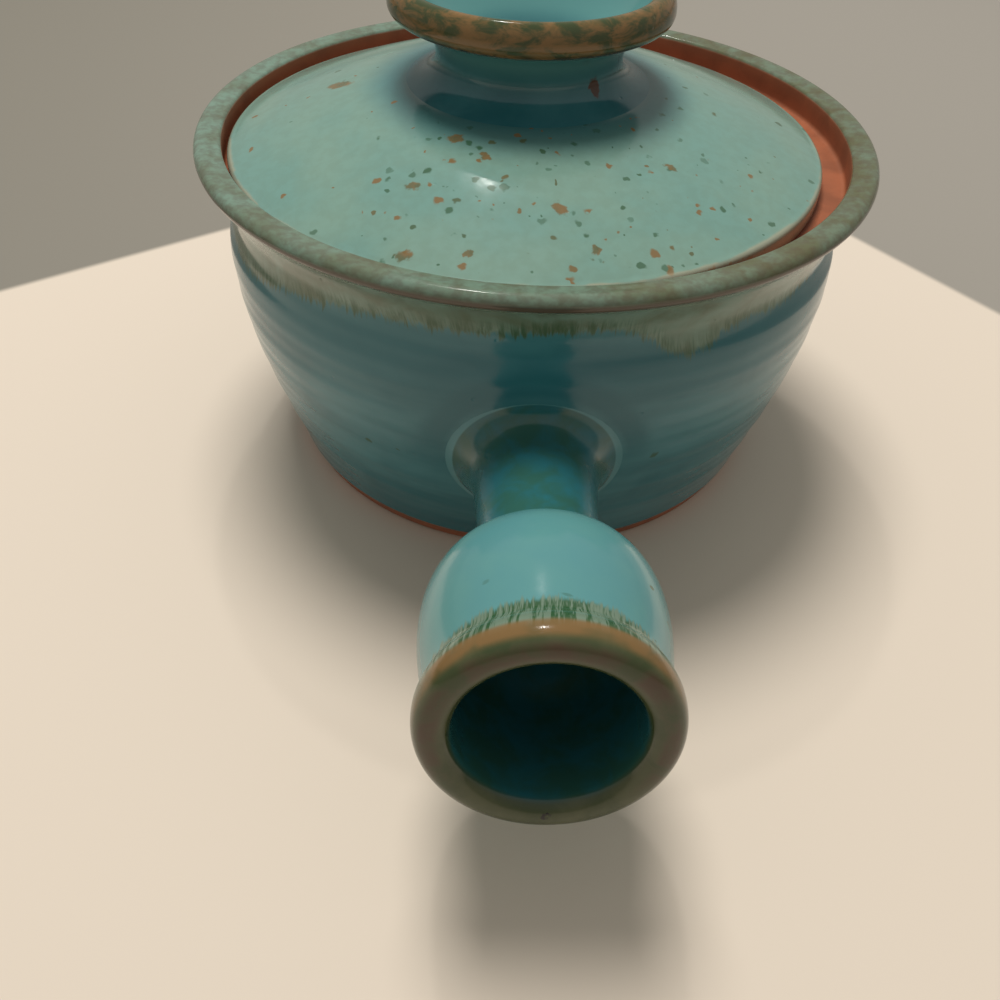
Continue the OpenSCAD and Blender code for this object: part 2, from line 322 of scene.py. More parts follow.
def new_group(name, inputs, outputs):
    """An empty shader node group with named sockets: its wiring, its input sockets and a function that
    links its outputs. Inputs are (name, kind, default)."""
    tree = bpy.data.node_groups.new(name, "ShaderNodeTree")
    for label, kind, default in inputs:
        socket = tree.interface.new_socket(label, in_out="INPUT", socket_type="NodeSocket" + kind)
        if default is not None:
            socket.default_value = default
    for label, kind in outputs:
        tree.interface.new_socket(label, in_out="OUTPUT", socket_type="NodeSocket" + kind)
    source = tree.nodes.new("NodeGroupInput")
    sink = tree.nodes.new("NodeGroupOutput")

    def close(**results):
        for key, value in results.items():
            tree.links.new(value, sink.inputs[key.replace("_", " ")])

    return Wiring(tree), source.outputs, close


def build_groups():
    """The effects that several glazes share."""
    # Where a point lies on a turned piece: distance from the axis, height and direction round it
    w, given, close = new_group("Turned place", [("Vector", "Vector", None)],
                                [("Radius", "Float"), ("Height", "Float"), ("Direction", "Vector")])
    x, y, z = w.parts(given["Vector"])
    flat = w.together(x, y, 0.0)
    close(Radius=w.vector("LENGTH", flat), Height=z, Direction=w.vector("NORMALIZE", flat))

    # Soft clouds and fine grain of a glaze that has melted unevenly
    w, given, close = new_group("Glaze cloud", [("Vector", "Vector", None), ("Scale", "Float", 60.0)],
                                [("Cloud", "Float"), ("Grain", "Float")])
    cloud = w.noise(given["Vector"], given["Scale"], 4.0, 0.55, 0.4)
    fine = w.noise(given["Vector"], w.math("MULTIPLY", given["Scale"], 14.0), 2.0, 0.6)
    close(Cloud=w.step(cloud, 0.34, 0.66), Grain=w.step(fine, 0.32, 0.68))

    # Small specks: cells of which a share holds one, each with its own size and shade
    w, given, close = new_group("Glaze specks", [
        ("Vector", "Vector", None), ("Scale", "Float", 300.0), ("Size", "Float", 0.3),
        ("Share", "Float", 0.5), ("Seed", "Float", 0.0)], [("Mask", "Float"), ("Shade", "Float")])
    finer = w.math("MULTIPLY", given["Scale"], 1.8)
    wander = w.node("ShaderNodeTexNoise", {
        "Vector": given["Vector"], "Scale": finer, "Detail": 1.0}).outputs[1]
    shaken = w.vector("ADD", w.vector("SCALE", given["Vector"], scale=given["Scale"]),
                      w.vector("SCALE", wander, scale=0.55))
    shaken = w.vector("ADD", shaken, w.together(given["Seed"], given["Seed"], given["Seed"]))
    cells = w.node("ShaderNodeTexVoronoi", {"Vector": shaken, "Scale": 1.0})
    red, green, blue = w.node("ShaderNodeSeparateColor", {0: cells.outputs["Color"]}).outputs
    chosen = w.math("LESS_THAN", red, given["Share"])
    spread = w.math("ADD", w.math("MULTIPLY", w.math("POWER", green, 2.0), 1.1), 0.35)
    reach = w.math("MULTIPLY", given["Size"], spread)
    inside = w.step(cells.outputs["Distance"], w.math("MULTIPLY", reach, 0.6), reach, 1.0, 0.0)
    close(Mask=w.math("MULTIPLY", inside, chosen), Shade=blue)

    # One larger spot with an uneven edge, at a given place
    w, given, close = new_group("Glaze spot", [
        ("Vector", "Vector", None), ("Centre", "Vector", (0, 0, 0)), ("Size", "Float", 0.001),
        ("Turn", "Float", 0.0), ("Stretch", "Float", 1.0)], [("Mask", "Float")])
    wander = w.node("ShaderNodeTexNoise", {
        "Vector": given["Vector"], "Scale": 900.0, "Detail": 2.0}).outputs[1]
    wander = w.vector("SUBTRACT", wander, (0.5, 0.5, 0.5))
    shaken = w.vector("ADD", given["Vector"], w.vector("SCALE", wander, scale=2.2 * MM))
    away = w.vector("SUBTRACT", shaken, given["Centre"])
    turn = w.node("ShaderNodeVectorRotate", {"Vector": away, "Angle": given["Turn"]},
                  rotation_type="Z_AXIS").outputs[0]
    x, y, z = w.parts(turn)
    away = w.together(w.math("DIVIDE", x, given["Stretch"]), y, w.math("MULTIPLY", z, 0.5))
    close(Mask=w.step(w.math("DIVIDE", w.vector("LENGTH", away), given["Size"]), 1.25, 0.7))

    # Ragged edge of short strokes, where a run of glaze feathers into the next. Place counts from the
    # edge in metres, and the strokes are as long as Reach
    w, given, close = new_group("Glaze fringe", [
        ("Direction", "Vector", None), ("Place", "Float", 0.0), ("Reach", "Float", 0.003),
        ("Strokes", "Float", 60.0)], [("Mask", "Float"), ("Strokes", "Float")])
    along = w.math("MULTIPLY", given["Place"], 90.0)
    comb = w.vector("ADD", w.vector("SCALE", given["Direction"], scale=given["Strokes"]),
                    w.together(along, along, along))
    strokes = w.noise(comb, 1.0, 3.0, 0.7, 0.3)
    ragged = w.math("ADD", w.math("DIVIDE", given["Place"], given["Reach"]),
                    w.math("MULTIPLY", w.math("SUBTRACT", strokes, 0.5), 3.2))
    close(Mask=w.step(ragged, -0.35, 0.35), Strokes=w.step(strokes, 0.35, 0.65))

    # Skin of a fired glaze: a slight orange peel and a few pinholes, as a height, and how dull it is
    w, given, close = new_group("Glaze skin", [("Vector", "Vector", None), ("Dullness", "Float", 0.13)],
                                [("Height", "Float"), ("Roughness", "Float")])
    peel = w.noise(given["Vector"], 420.0, 2.0, 0.5)
    broad = w.noise(given["Vector"], 95.0, 2.0, 0.5)
    pits = w.node("ShaderNodeTexVoronoi", {"Vector": given["Vector"], "Scale": 260.0})
    red = w.node("ShaderNodeSeparateColor", {0: pits.outputs["Color"]}).outputs[0]
    pit = w.math("MULTIPLY", w.step(pits.outputs["Distance"], 0.12, 0.04), w.math("GREATER_THAN", red, 0.93))
    height = w.math("ADD", w.math("MULTIPLY", peel, 0.35), w.math("MULTIPLY", broad, 1.2))
    height = w.math("SUBTRACT", height, w.math("MULTIPLY", pit, 1.2))
    smudge = w.noise(given["Vector"], 160.0, 3.0, 0.6)
    dull = w.math("ADD", given["Dullness"], w.math("MULTIPLY", smudge, 0.07))
    close(Height=height, Roughness=dull)


def new_material(name):
    """An empty material: its wiring, the Object coordinates and a function that ends it in a
    Principled BSDF with a bump."""
    material = bpy.data.materials.new(name)
    material.use_nodes = True
    tree = material.node_tree
    tree.nodes.clear()
    w = Wiring(tree)
    place = w.node("ShaderNodeTexCoord").outputs["Object"]

    def close(base, roughness, height, strength=0.25, depth=0.00025):
        bump = w.node("ShaderNodeBump", {"Height": height, "Strength": strength, "Distance": depth})
        shader = w.node("ShaderNodeBsdfPrincipled", {"Base Color": base, "Roughness": roughness,
                        "Normal": bump.outputs[0]})
        shader.inputs["IOR"].default_value = 1.52
        output = w.node("ShaderNodeOutputMaterial", {"Surface": shader.outputs[0]})
        output.target = "ALL"
        return material

    return w, place, close


def attribute(w, name):
    """The value that a piece carries on its points under this name."""
    return w.node("ShaderNodeAttribute", attribute_name=name).outputs["Fac"]


def carry(piece, name, values):
    """Stores one value for each point of the piece."""
    made = piece.data.attributes.new(name, "FLOAT", "POINT")
    made.data.foreach_set("value", np.asarray(values, np.float32).ravel())


def handle_place(w, place):
    """Object coordinates turned into the handle's own: z runs out along its axis from the wall."""
    bowl, _, handle, _ = sizes()
    return w.place(place, (0, -wall_radius(handle.root_z), handle.root_z),
                   (math.pi / 2 - handle.tilt, 0, 0), kind="TEXTURE")


# The bowl

def wall_radius(z):
    """Outer radius of the wall: a swelling quarter of a sine wave up to the shoulder, then half a cosine
    wave in to the waist."""
    s = sizes()[0]
    below = s.foot_r + (s.shoulder_r - s.foot_r) * np.sin(
        np.pi / 2 * np.clip(z / s.shoulder_z, 0, 1))**1.1
    above = s.shoulder_r - (s.shoulder_r - s.waist_r) * (
        1 - np.cos(np.pi * np.clip((z - s.shoulder_z) / (s.waist_z - s.shoulder_z), 0, 1))) / 2
    return np.where(z < s.shoulder_z, below, above) if isinstance(z, np.ndarray) else float(
        below if z < s.shoulder_z else above)


def bowl_profile():
    """The bowl's section from the middle of its underside, out round the foot, up the wall, over the
    rim and the gallery, and down the inside to the middle of its floor."""
    s = sizes()[0]
    foot = soften([[0, 2.5 * MM], [s.foot_r - 7.5 * MM, 2.5 * MM], [s.foot_r - 6 * MM, 0],
                   [s.foot_r - 0.8 * MM, 0], [s.foot_r - 0.1 * MM, 0.8 * MM], [s.foot_r, 1.6 * MM]],
                  [0.6 * MM, 0.5 * MM, 0.3 * MM, 0.4 * MM])
    z = np.linspace(1.6 * MM, s.waist_z, 150)
    # The glaze stops in a soft bead a little above the table, over the bare foot
    bead = GLAZE_BEAD * ease(z, 2.9 * MM, 3.5 * MM) + 0.12 * MM * np.exp(-((z - 3.9 * MM) / (0.8 * MM))**2)
    wall = np.column_stack([wall_radius(z) + bead - GLAZE_BEAD, z])
    roll = ROLL_R
    mid = np.array([s.rim_r - roll, s.height - roll])
    start = mid + roll * np.array([math.cos(math.radians(-60)), math.sin(math.radians(-60))])
    flare = bend(wall[-1], [wall[-1, 0], s.waist_z + 3.5 * MM],
                 start + 3.5 * MM * np.array([-math.sin(math.radians(60)), -0.5]), start, 40)
    turn = np.radians(np.linspace(-60, 80, 24))
    rim = mid + roll * np.column_stack([np.cos(turn), np.sin(turn)])
    inner_r, inner_z = s.gallery_r + INNER_R, s.height - 0.3 * MM
    crest = bend(rim[-1], rim[-1] + [-1.2 * MM, 0.15 * MM],
                 [inner_r + 0.9 * MM, s.height - 0.25 * MM], [inner_r, inner_z], 12)
    turn = np.radians(np.linspace(90, 180, 10))
    edge = np.array([inner_r, inner_z - INNER_R]) + INNER_R * np.column_stack([np.cos(turn), np.sin(turn)])
    under = s.ledge_z - LEDGE_T
    gallery = soften([edge[-1], [s.gallery_r, s.ledge_z], [s.ledge_r, s.ledge_z], [s.ledge_r, under],
                      [wall_radius(under - 3 * MM) - s.wall, under - 3.4 * MM]],
                     [1.0 * MM, 0.8 * MM, 0.8 * MM])
    floor, rise, run = FLOOR_Z, 18 * MM, 22 * MM
    z = np.linspace(gallery[-1, 1], floor + rise, 50)
    inside = np.column_stack([wall_radius(z) - s.wall, z])
    lean = wall_radius(floor + rise) - wall_radius(floor + rise - MM)
    far = inside[-1]
    bottom = bend(far, [far[0] - 9 * lean, far[1] - 9 * MM],
                  [far[0] - run + 12 * MM, floor], [far[0] - run, floor], 30)
    return fill(join(foot, wall, flare, rim, crest, edge, gallery, inside, bottom, [[0, floor]]), 1.6 * MM)


def glaze_run(angle, z):
    """Height above the lower edge of the run of glaze under the rim. The edge lies about 61 mm up in
    front and sinks in smooth bumps to the left, and in one deep fan right of the handle."""
    front = np.angle(np.exp(1j * (angle + np.pi / 2)))
    turn = np.degrees(front)
    edge = (60.8 + 0.9 * np.sin(3 * front + 0.6) + 0.6 * np.sin(7 * front)
            - 7.4 * np.exp(-((turn - 24) / 8.5)**2) - 3.6 * np.exp(-((turn - 45) / 13)**2)
            - 6.5 * np.exp(-((turn + 62) / 19)**2) - 1.3 * np.exp(-((turn + 38) / 9)**2))
    return z - edge * MM


class SOUPBOWL_OT_bowl(bpy.types.Operator):
    """Throws the bowl: foot, wall with finger ridges, rolled rim, gallery and inside"""

    bl_idname = "soupbowl.bowl"
    bl_label = "Bowl"

    def execute(self, context):
        s, _, handle, _ = sizes()
        grid = turned(bowl_profile(), 224)
        x, y, z = np.moveaxis(grid, 2, 0)
        angle = np.arctan2(y, x)
        outside = (np.hypot(x, y) > wall_radius(z) - s.wall / 2)
        # Ridges climb the wall in a shallow screw, fade at foot and rim, and are smoothed at the handle
        off_root = ease(np.hypot(x, z - handle.root_z - 2 * MM), 20 * MM, 28 * MM)
        off_root = np.where(y < 0, off_root, 1)
        fade = ease(z, 5 * MM, 12 * MM) * ease(z, 69 * MM, 60 * MM) * off_root * outside
        screw = 2 * np.pi * z / (8.5 * MM) + angle
        ridge = s.ridge * fade * (np.sin(screw) + 0.45 * np.sin(2.3 * screw + 1))
        ridge += 0.25 * MM * fade * np.sin(2 * angle + 0.8) * ease(z, 8 * MM, 40 * MM)
        grid[:, :, 0] += ridge * np.cos(angle)
        grid[:, :, 1] += ridge * np.sin(angle)
        piece = skin("thrown_bowl", grid)
        run = glaze_run(angle, z)
        carry(piece, "glaze_run", np.r_[run[0, 0], run[1:-1].ravel(), run[-1, 0]])
        finish_piece(piece, bowl_glaze(), "pot", "bowl_glaze", "bowl")
        return {"FINISHED"}


def bowl_glaze():
    """Teal glaze that pools on the wall, darkened with painted shade in the waist under the rim and above the
    handle's root; it thins to olive over the rim and stops short of the foot.
    """
    c = sizes()[3]
    w, place, close = new_material("bowl_glaze")
    radius, height, around = w.use("Turned place", Vector=place)
    cloud, grain = w.use("Glaze cloud", Vector=w.place(place, scale=(1, 1, 1.7)), Scale=38.0)
    patch, _ = w.use("Glaze cloud", Vector=place, Scale=110.0)
    climb = w.together(0.0, w.math("MULTIPLY", w.parts(around)[0], 0.5), w.math("MULTIPLY", height, 95.0))
    bands = w.step(w.noise(climb, 1.0, 3.0, 0.6), 0.36, 0.64)

    light = w.math("ADD", w.math("MULTIPLY", bands, 0.5), w.math("MULTIPLY", cloud, 0.4))
    wall = w.mix(light, c.deep_and_shade, c.teal)
    # Deep teal band in the waist under the rim: partly pooled glaze, partly painted shade cast by the rim
    pooled = w.math("MULTIPLY", w.step(height, 40 * MM, 50 * MM), w.step(height, 62 * MM, 54 * MM))
    wall = w.mix(w.math("MULTIPLY", pooled, 0.45), wall, c.deep_and_shade)
    own = handle_place(w, place)
    x, up, out = w.parts(own)
    ring = w.vector("LENGTH", w.together(x, up, 0.0))
    # Painted shade, partly pooled glaze: a deep teal arc in the crease on the wall just above the handle's
    # root
    root_shade_ring = w.math("MULTIPLY", w.step(ring, 16.5 * MM, 18.5 * MM), w.step(ring, 24 * MM, 20.5 * MM))
    root_shade_top = w.math("MULTIPLY", w.step(up, -4 * MM, 8 * MM), w.step(out, -12 * MM, -6 * MM))
    wall = w.mix(w.math("MULTIPLY", w.math("MULTIPLY", root_shade_ring, root_shade_top), 0.8), wall, c.deep_and_shade)

    run = attribute(w, "glaze_run")
    mask, strokes = w.use("Glaze fringe", Direction=around, Place=run, Reach=2.2 * MM, Strokes=75.0)
    thin = w.mix(w.math("ADD", w.math("MULTIPLY", patch, 0.45), 0.3), c.olive, c.sage)
    tips = w.math("MULTIPLY", strokes, w.step(run, 5 * MM, 0.5 * MM))
    thin = w.mix(w.math("MULTIPLY", tips, 0.8), thin, c.green)
    outside = w.step(radius, 60.5 * MM, 61.5 * MM)
    base = w.mix(w.math("MULTIPLY", mask, outside), wall, thin)

    # The top of the rim: sage and olive in patches, with fine brown grain, dark on its lower edge
    top = w.step(height, 69.2 * MM, 70.4 * MM)
    side = w.math("MULTIPLY", w.math("ADD", w.parts(around)[0], 1.0), 0.5)
    rim = w.mix(w.math("ADD", w.math("MULTIPLY", w.math("ADD", patch, side), 0.4), 0.25), c.sage, c.olive)
    rim = w.mix(w.math("MULTIPLY", grain, 0.35), rim, c.umber)
    base = w.mix(top, base, rim)
    broken = w.math("ABSOLUTE", w.math("SUBTRACT", height, 69.4 * MM))
    broken = w.math("MULTIPLY", w.step(broken, 1.1 * MM, 0.3 * MM), w.step(radius, 68.9 * MM, 69.6 * MM))
    base = w.mix(w.math("MULTIPLY", broken, 0.8), base, c.umber)

    dots = w.use("Glaze specks", Vector=place, Scale=160.0, Size=0.16, Share=0.1, Seed=3.0)[0]
    base = w.mix(w.math("MULTIPLY", dots, 0.85), base, c.green)

    # The gallery and its wall are bare clay with a thin wash, and so is the foot
    seat = w.math("MULTIPLY", w.step(radius, 65.2 * MM, 64.9 * MM), w.step(height, 64.6 * MM, 65.0 * MM))
    seat = w.math("MULTIPLY", seat, w.step(height, 70.9 * MM, 70.4 * MM))
    brink = w.math("MULTIPLY", w.step(radius, 58.6 * MM, 58.0 * MM), w.step(height, 61.0 * MM, 61.6 * MM))
    gallery = w.math("MAXIMUM", seat, brink)
    clay = w.mix(w.math("MULTIPLY", patch, 0.35), c.clay, c.umber)
    base = w.mix(gallery, base, clay)
    waver = w.math("MULTIPLY", w.math("SUBTRACT", patch, 0.5), 0.5 * MM)
    foot = w.step(w.math("ADD", height, waver), 3.4 * MM, 2.8 * MM)
    bare = w.math("MAXIMUM", gallery, foot)
    base = w.mix(foot, base, clay)

    height_out, rough = w.use("Glaze skin", Vector=place, Dullness=0.12)
    rough = w.math("ADD", rough, w.math("MULTIPLY", bare, 0.45))
    return close(base, rough, height_out)


# The lid and its knob

def lid_profile():
    """The lid's section from the middle of the crown over the dome to its edge, under the edge to the
    flange, and up the inside of the dome to the axis. It runs downwards, so it is turned over."""
    bowl, s, _, _ = sizes()
    edge_r = s.radius - LID_EDGE_R
    low = bowl.ledge_z
    rise = s.crown_z - low - LID_EDGE_T

    def dome(r):
        return s.crown_z - rise * np.clip((r - s.crown_r) / (edge_r - s.crown_r), 0, None)**1.3

    r = np.linspace(s.crown_r, edge_r, 60)
    top = np.column_stack([r, dome(r)])
    turn = np.radians(np.linspace(70, 0, 8))
    edge = np.array([edge_r, low + LID_EDGE_T - LID_EDGE_R]) + LID_EDGE_R * np.column_stack(
        [np.cos(turn), np.sin(turn)])
    under = soften([edge[-1], [s.radius, low], [s.flange_r, low], [s.flange_r - 0.4 * MM, low - 5 * MM],
                    [s.flange_r - 3.6 * MM, low - 5 * MM], [s.flange_r - 3.6 * MM, low - 2 * MM]],
                   [0.7 * MM, 0.8 * MM, 1.0 * MM, 1.0 * MM])
    mid = s.flange_r * 0.72
    inside = bend(under[-1], [s.flange_r - 3.6 * MM, low + 1.5 * MM], [mid, dome(np.array(mid)) - 4.5 * MM],
                  [s.crown_r, s.crown_z - 4.9 * MM], 30)
    run = join([[0, s.crown_z]], top, edge, under, inside, [[0, s.crown_z - 4.5 * MM]])
    return fill(run, 1.5 * MM)[::-1]


def knob_profile():
    """The knob's section from the middle of its foot out and up round the lip and down into its cup."""
    _, s, _, _ = sizes()
    h, r, neck = s.knob_h, s.knob_r, s.knob_neck_r
    under, wide, lip = h - 6.6 * MM, h - 4 * MM, 4.7 * MM
    mid, cup = r - lip / 2, neck - KNOB_WALL
    waist = 0.28 * h
    run = join(
        [[0, -0.2 * MM], [s.crown_r, -0.2 * MM]],
        bend([s.crown_r, -0.1 * MM], [neck + 1.6 * MM, 0.6 * MM], [neck, waist * 0.5], [neck, waist]),
        bend([neck, waist], [neck, waist + 3.4 * MM], [r - 6.5 * MM, under - MM], [r - 3.2 * MM, under]),
        bend([r - 3.2 * MM, under], [r - 1.4 * MM, under + 0.5 * MM], [r, under + 1.1 * MM], [r, wide], 12),
        bend([r, wide], [r, h - 1.8 * MM], [mid + 1.3 * MM, h], [mid, h], 14),
        bend([mid, h], [mid - 1.2 * MM, h], [r - lip, h - 0.9 * MM], [r - lip - 0.3 * MM, h - 2.4 * MM], 10),
        bend([r - lip - 0.3 * MM, h - 2.4 * MM], [r - 7.6 * MM, h - 7.2 * MM],
             [cup + MM, 8.0 * MM], [cup - MM, 5.0 * MM]),
        bend([cup - MM, 5.0 * MM], [cup - 2.2 * MM, KNOB_FLOOR],
             [cup - 5 * MM, KNOB_FLOOR], [cup - 8 * MM, KNOB_FLOOR], 10),
        [[0, KNOB_FLOOR]])
    run[:, 1] += s.crown_z
    return fill(run, 1.5 * MM)


class SOUPBOWL_OT_lid(bpy.types.Operator):
    """Throws the domed lid with the flange that keeps it in its gallery"""

    bl_idname = "soupbowl.lid"
    bl_label = "Lid"

    def execute(self, context):
        s = sizes()[1]
        grid = turned(lid_profile(), 256, (s.slip_x, s.slip_y))
        finish_piece(skin("domed_lid", grid), lid_glaze(), "cover", "lid_glaze", "lid")
        return {"FINISHED"}


class SOUPBOWL_OT_knob(bpy.types.Operator):
    """Throws the cup-shaped knob on the crown of the lid"""

    bl_idname = "soupbowl.knob"
    bl_label = "Knob"

    def execute(self, context):
        s = sizes()[1]
        grid = turned(knob_profile(), 224, (s.slip_x, s.slip_y))
        finish_piece(skin("cup_knob", grid), knob_glaze(), "cover", "lid_glaze", "knob")
        return {"FINISHED"}


# Larger tan spots burnt into the lid's glaze: x and y from the lid's axis, size, turn and stretch
LID_SPOTS = [(-38.2, 2.1, 1.5, 0.5, 1.9), (-13.6, -27.3, 1.1, 0.1, 1.4), (-8.2, -32.9, 0.8, 0.9, 1.6),
             (-20.8, -38.5, 1.1, 0.3, 1.2), (-21.5, -53.4, 1.1, 0.0, 1.5), (4.9, -44.7, 1.1, 0.8, 1.5),
             (-10.7, -54.0, 0.8, 0.2, 1.1), (10.9, -52.6, 0.8, 0.0, 1.0), (25.5, -31.0, 0.8, 0.0, 1.2)]


def lid_glaze():
    """Sage-green glaze, peppered with dark and tan specks towards the front and bare under the edge."""
    _, lid, _, c = sizes()
    w, place, close = new_material("lid_glaze")
    own = w.vector("SUBTRACT", place, (lid.slip_x, lid.slip_y, 0))
    radius, height, around = w.use("Turned place", Vector=own)
    cloud, grain = w.use("Glaze cloud", Vector=own, Scale=30.0)
    patch, _ = w.use("Glaze cloud", Vector=own, Scale=120.0)
    base = w.mix(w.math("MULTIPLY", cloud, 0.35), c.sage, c.turquoise)
    base = w.mix(w.math("MULTIPLY", grain, 0.10), base, c.olive)
    # Painted shadow of the knob on the lid, with some pooled glaze: deep teal round the knob's foot
    base = w.mix(w.math("MULTIPLY", w.step(radius, 36 * MM, 25 * MM), 0.75), base, c.deep_and_shade)

    # Specks crowd in the middle of the front and thin out to the sides and the back
    x, y, _ = w.parts(own)
    across = w.math("DIVIDE", w.math("SUBTRACT", x, 6 * MM), 24 * MM)
    along = w.math("DIVIDE", w.math("ADD", y, 40 * MM), 20 * MM)
    far = w.math("ADD", w.math("MULTIPLY", across, across), w.math("MULTIPLY", along, along))
    crowd = w.step(far, 0.0, 4.0, 0.80, 0.09)
    dots, shade = w.use("Glaze specks", Vector=own, Scale=430.0, Size=0.34, Share=crowd)
    strength = w.math("MULTIPLY", dots, w.step(shade, 0.0, 0.7, 0.45, 0.9))
    base = w.mix(strength, base, w.mix(w.step(shade, 0.5, 0.7), c.green, c.ochre))
    dots, shade = w.use("Glaze specks", Vector=own, Scale=210.0, Size=0.22,
                        Share=w.math("MULTIPLY", crowd, 0.55), Seed=7.0)
    base = w.mix(w.math("MULTIPLY", dots, 0.85), base, w.mix(w.step(shade, 0.5, 0.7), c.green, c.ochre))
    for sx, sy, size, turn, stretch in LID_SPOTS:
        spot = w.use("Glaze spot", Vector=w.together(x, y, 0.0), Centre=(sx * MM, sy * MM, 0), Size=size * MM,
                     Turn=turn, Stretch=stretch)[0]
        base = w.mix(w.math("MULTIPLY", spot, 0.9), base, w.mix(grain, c.ochre, c.olive))

    # The glaze thins to a pale line over the edge, and the flange and seat are bare
    edge = w.step(w.math("ADD", radius, w.math("MULTIPLY", patch, 0.6 * MM)), 60.2 * MM, 60.9 * MM)
    base = w.mix(w.math("MULTIPLY", edge, 0.55), base, (0.36, 0.30, 0.20))
    seat = w.math("MULTIPLY", w.step(height, 66.2 * MM, 65.8 * MM), w.step(radius, 47.5 * MM, 48.0 * MM))
    base = w.mix(seat, base, w.mix(w.math("MULTIPLY", patch, 0.35), c.clay, c.umber))
    height_out, rough = w.use("Glaze skin", Vector=place, Dullness=0.10)
    rough = w.math("ADD", rough, w.math("MULTIPLY", seat, 0.45))
    return close(base, rough, height_out)


def knob_glaze():
    """Teal neck, darkened with painted shade, and cup under a lip where the glaze has burnt to ochre with
    dark olive streaks.
    """
    _, lid, _, c = sizes()
    w, place, close = new_material("knob_glaze")
    own = w.vector("SUBTRACT", place, (lid.slip_x, lid.slip_y, 0))
    radius, height, around = w.use("Turned place", Vector=own)
    cloud = w.use("Glaze cloud", Vector=own, Scale=60.0)[0]
    # Painted shade on the knob's neck: mostly deep teal clouded with teal, up to the turquoise band under the
    # lip
    base = w.mix(w.math("MULTIPLY", cloud, 0.4), c.deep_and_shade, c.teal)
    base = w.mix(w.step(height, 88 * MM, 91 * MM), base, c.turquoise)
    inside = w.math("MULTIPLY", w.step(radius, 24.2 * MM, 22.8 * MM), w.step(height, 84 * MM, 92 * MM))
    base = w.mix(inside, base, c.turquoise)
    lip = w.math("SUBTRACT", height, 92.9 * MM)
    mask, strokes = w.use("Glaze fringe", Direction=around, Place=lip, Reach=0.8 * MM, Strokes=26.0)
    outer = w.step(radius, 22.6 * MM, 23.4 * MM)
    turn = w.parts(around)
    flow = w.together(w.math("MULTIPLY", turn[0], 5.0), w.math("MULTIPLY", turn[1], 5.0),
                      w.math("MULTIPLY", height, 420.0))
    streak = w.noise(flow, 1.0, 4.0, 0.65, 0.5)
    burnt = w.mix(w.step(streak, 0.38, 0.62), c.moss, c.ochre)
    dark = w.math("MULTIPLY", w.step(lip, 2.2 * MM, 0.2 * MM), w.step(streak, 0.6, 0.4))
    burnt = w.mix(dark, burnt, c.umber)
    base = w.mix(w.math("MULTIPLY", mask, outer), base, burnt)
    spot = w.use("Glaze spot", Vector=own, Centre=(12.0 * MM, -14.3 * MM, 84.7 * MM),
                 Size=1.0 * MM, Stretch=1.6)[0]
    base = w.mix(spot, base, c.umber)
    height_out, rough = w.use("Glaze skin", Vector=place, Dullness=0.11)
    return close(base, rough, height_out)


# The handle

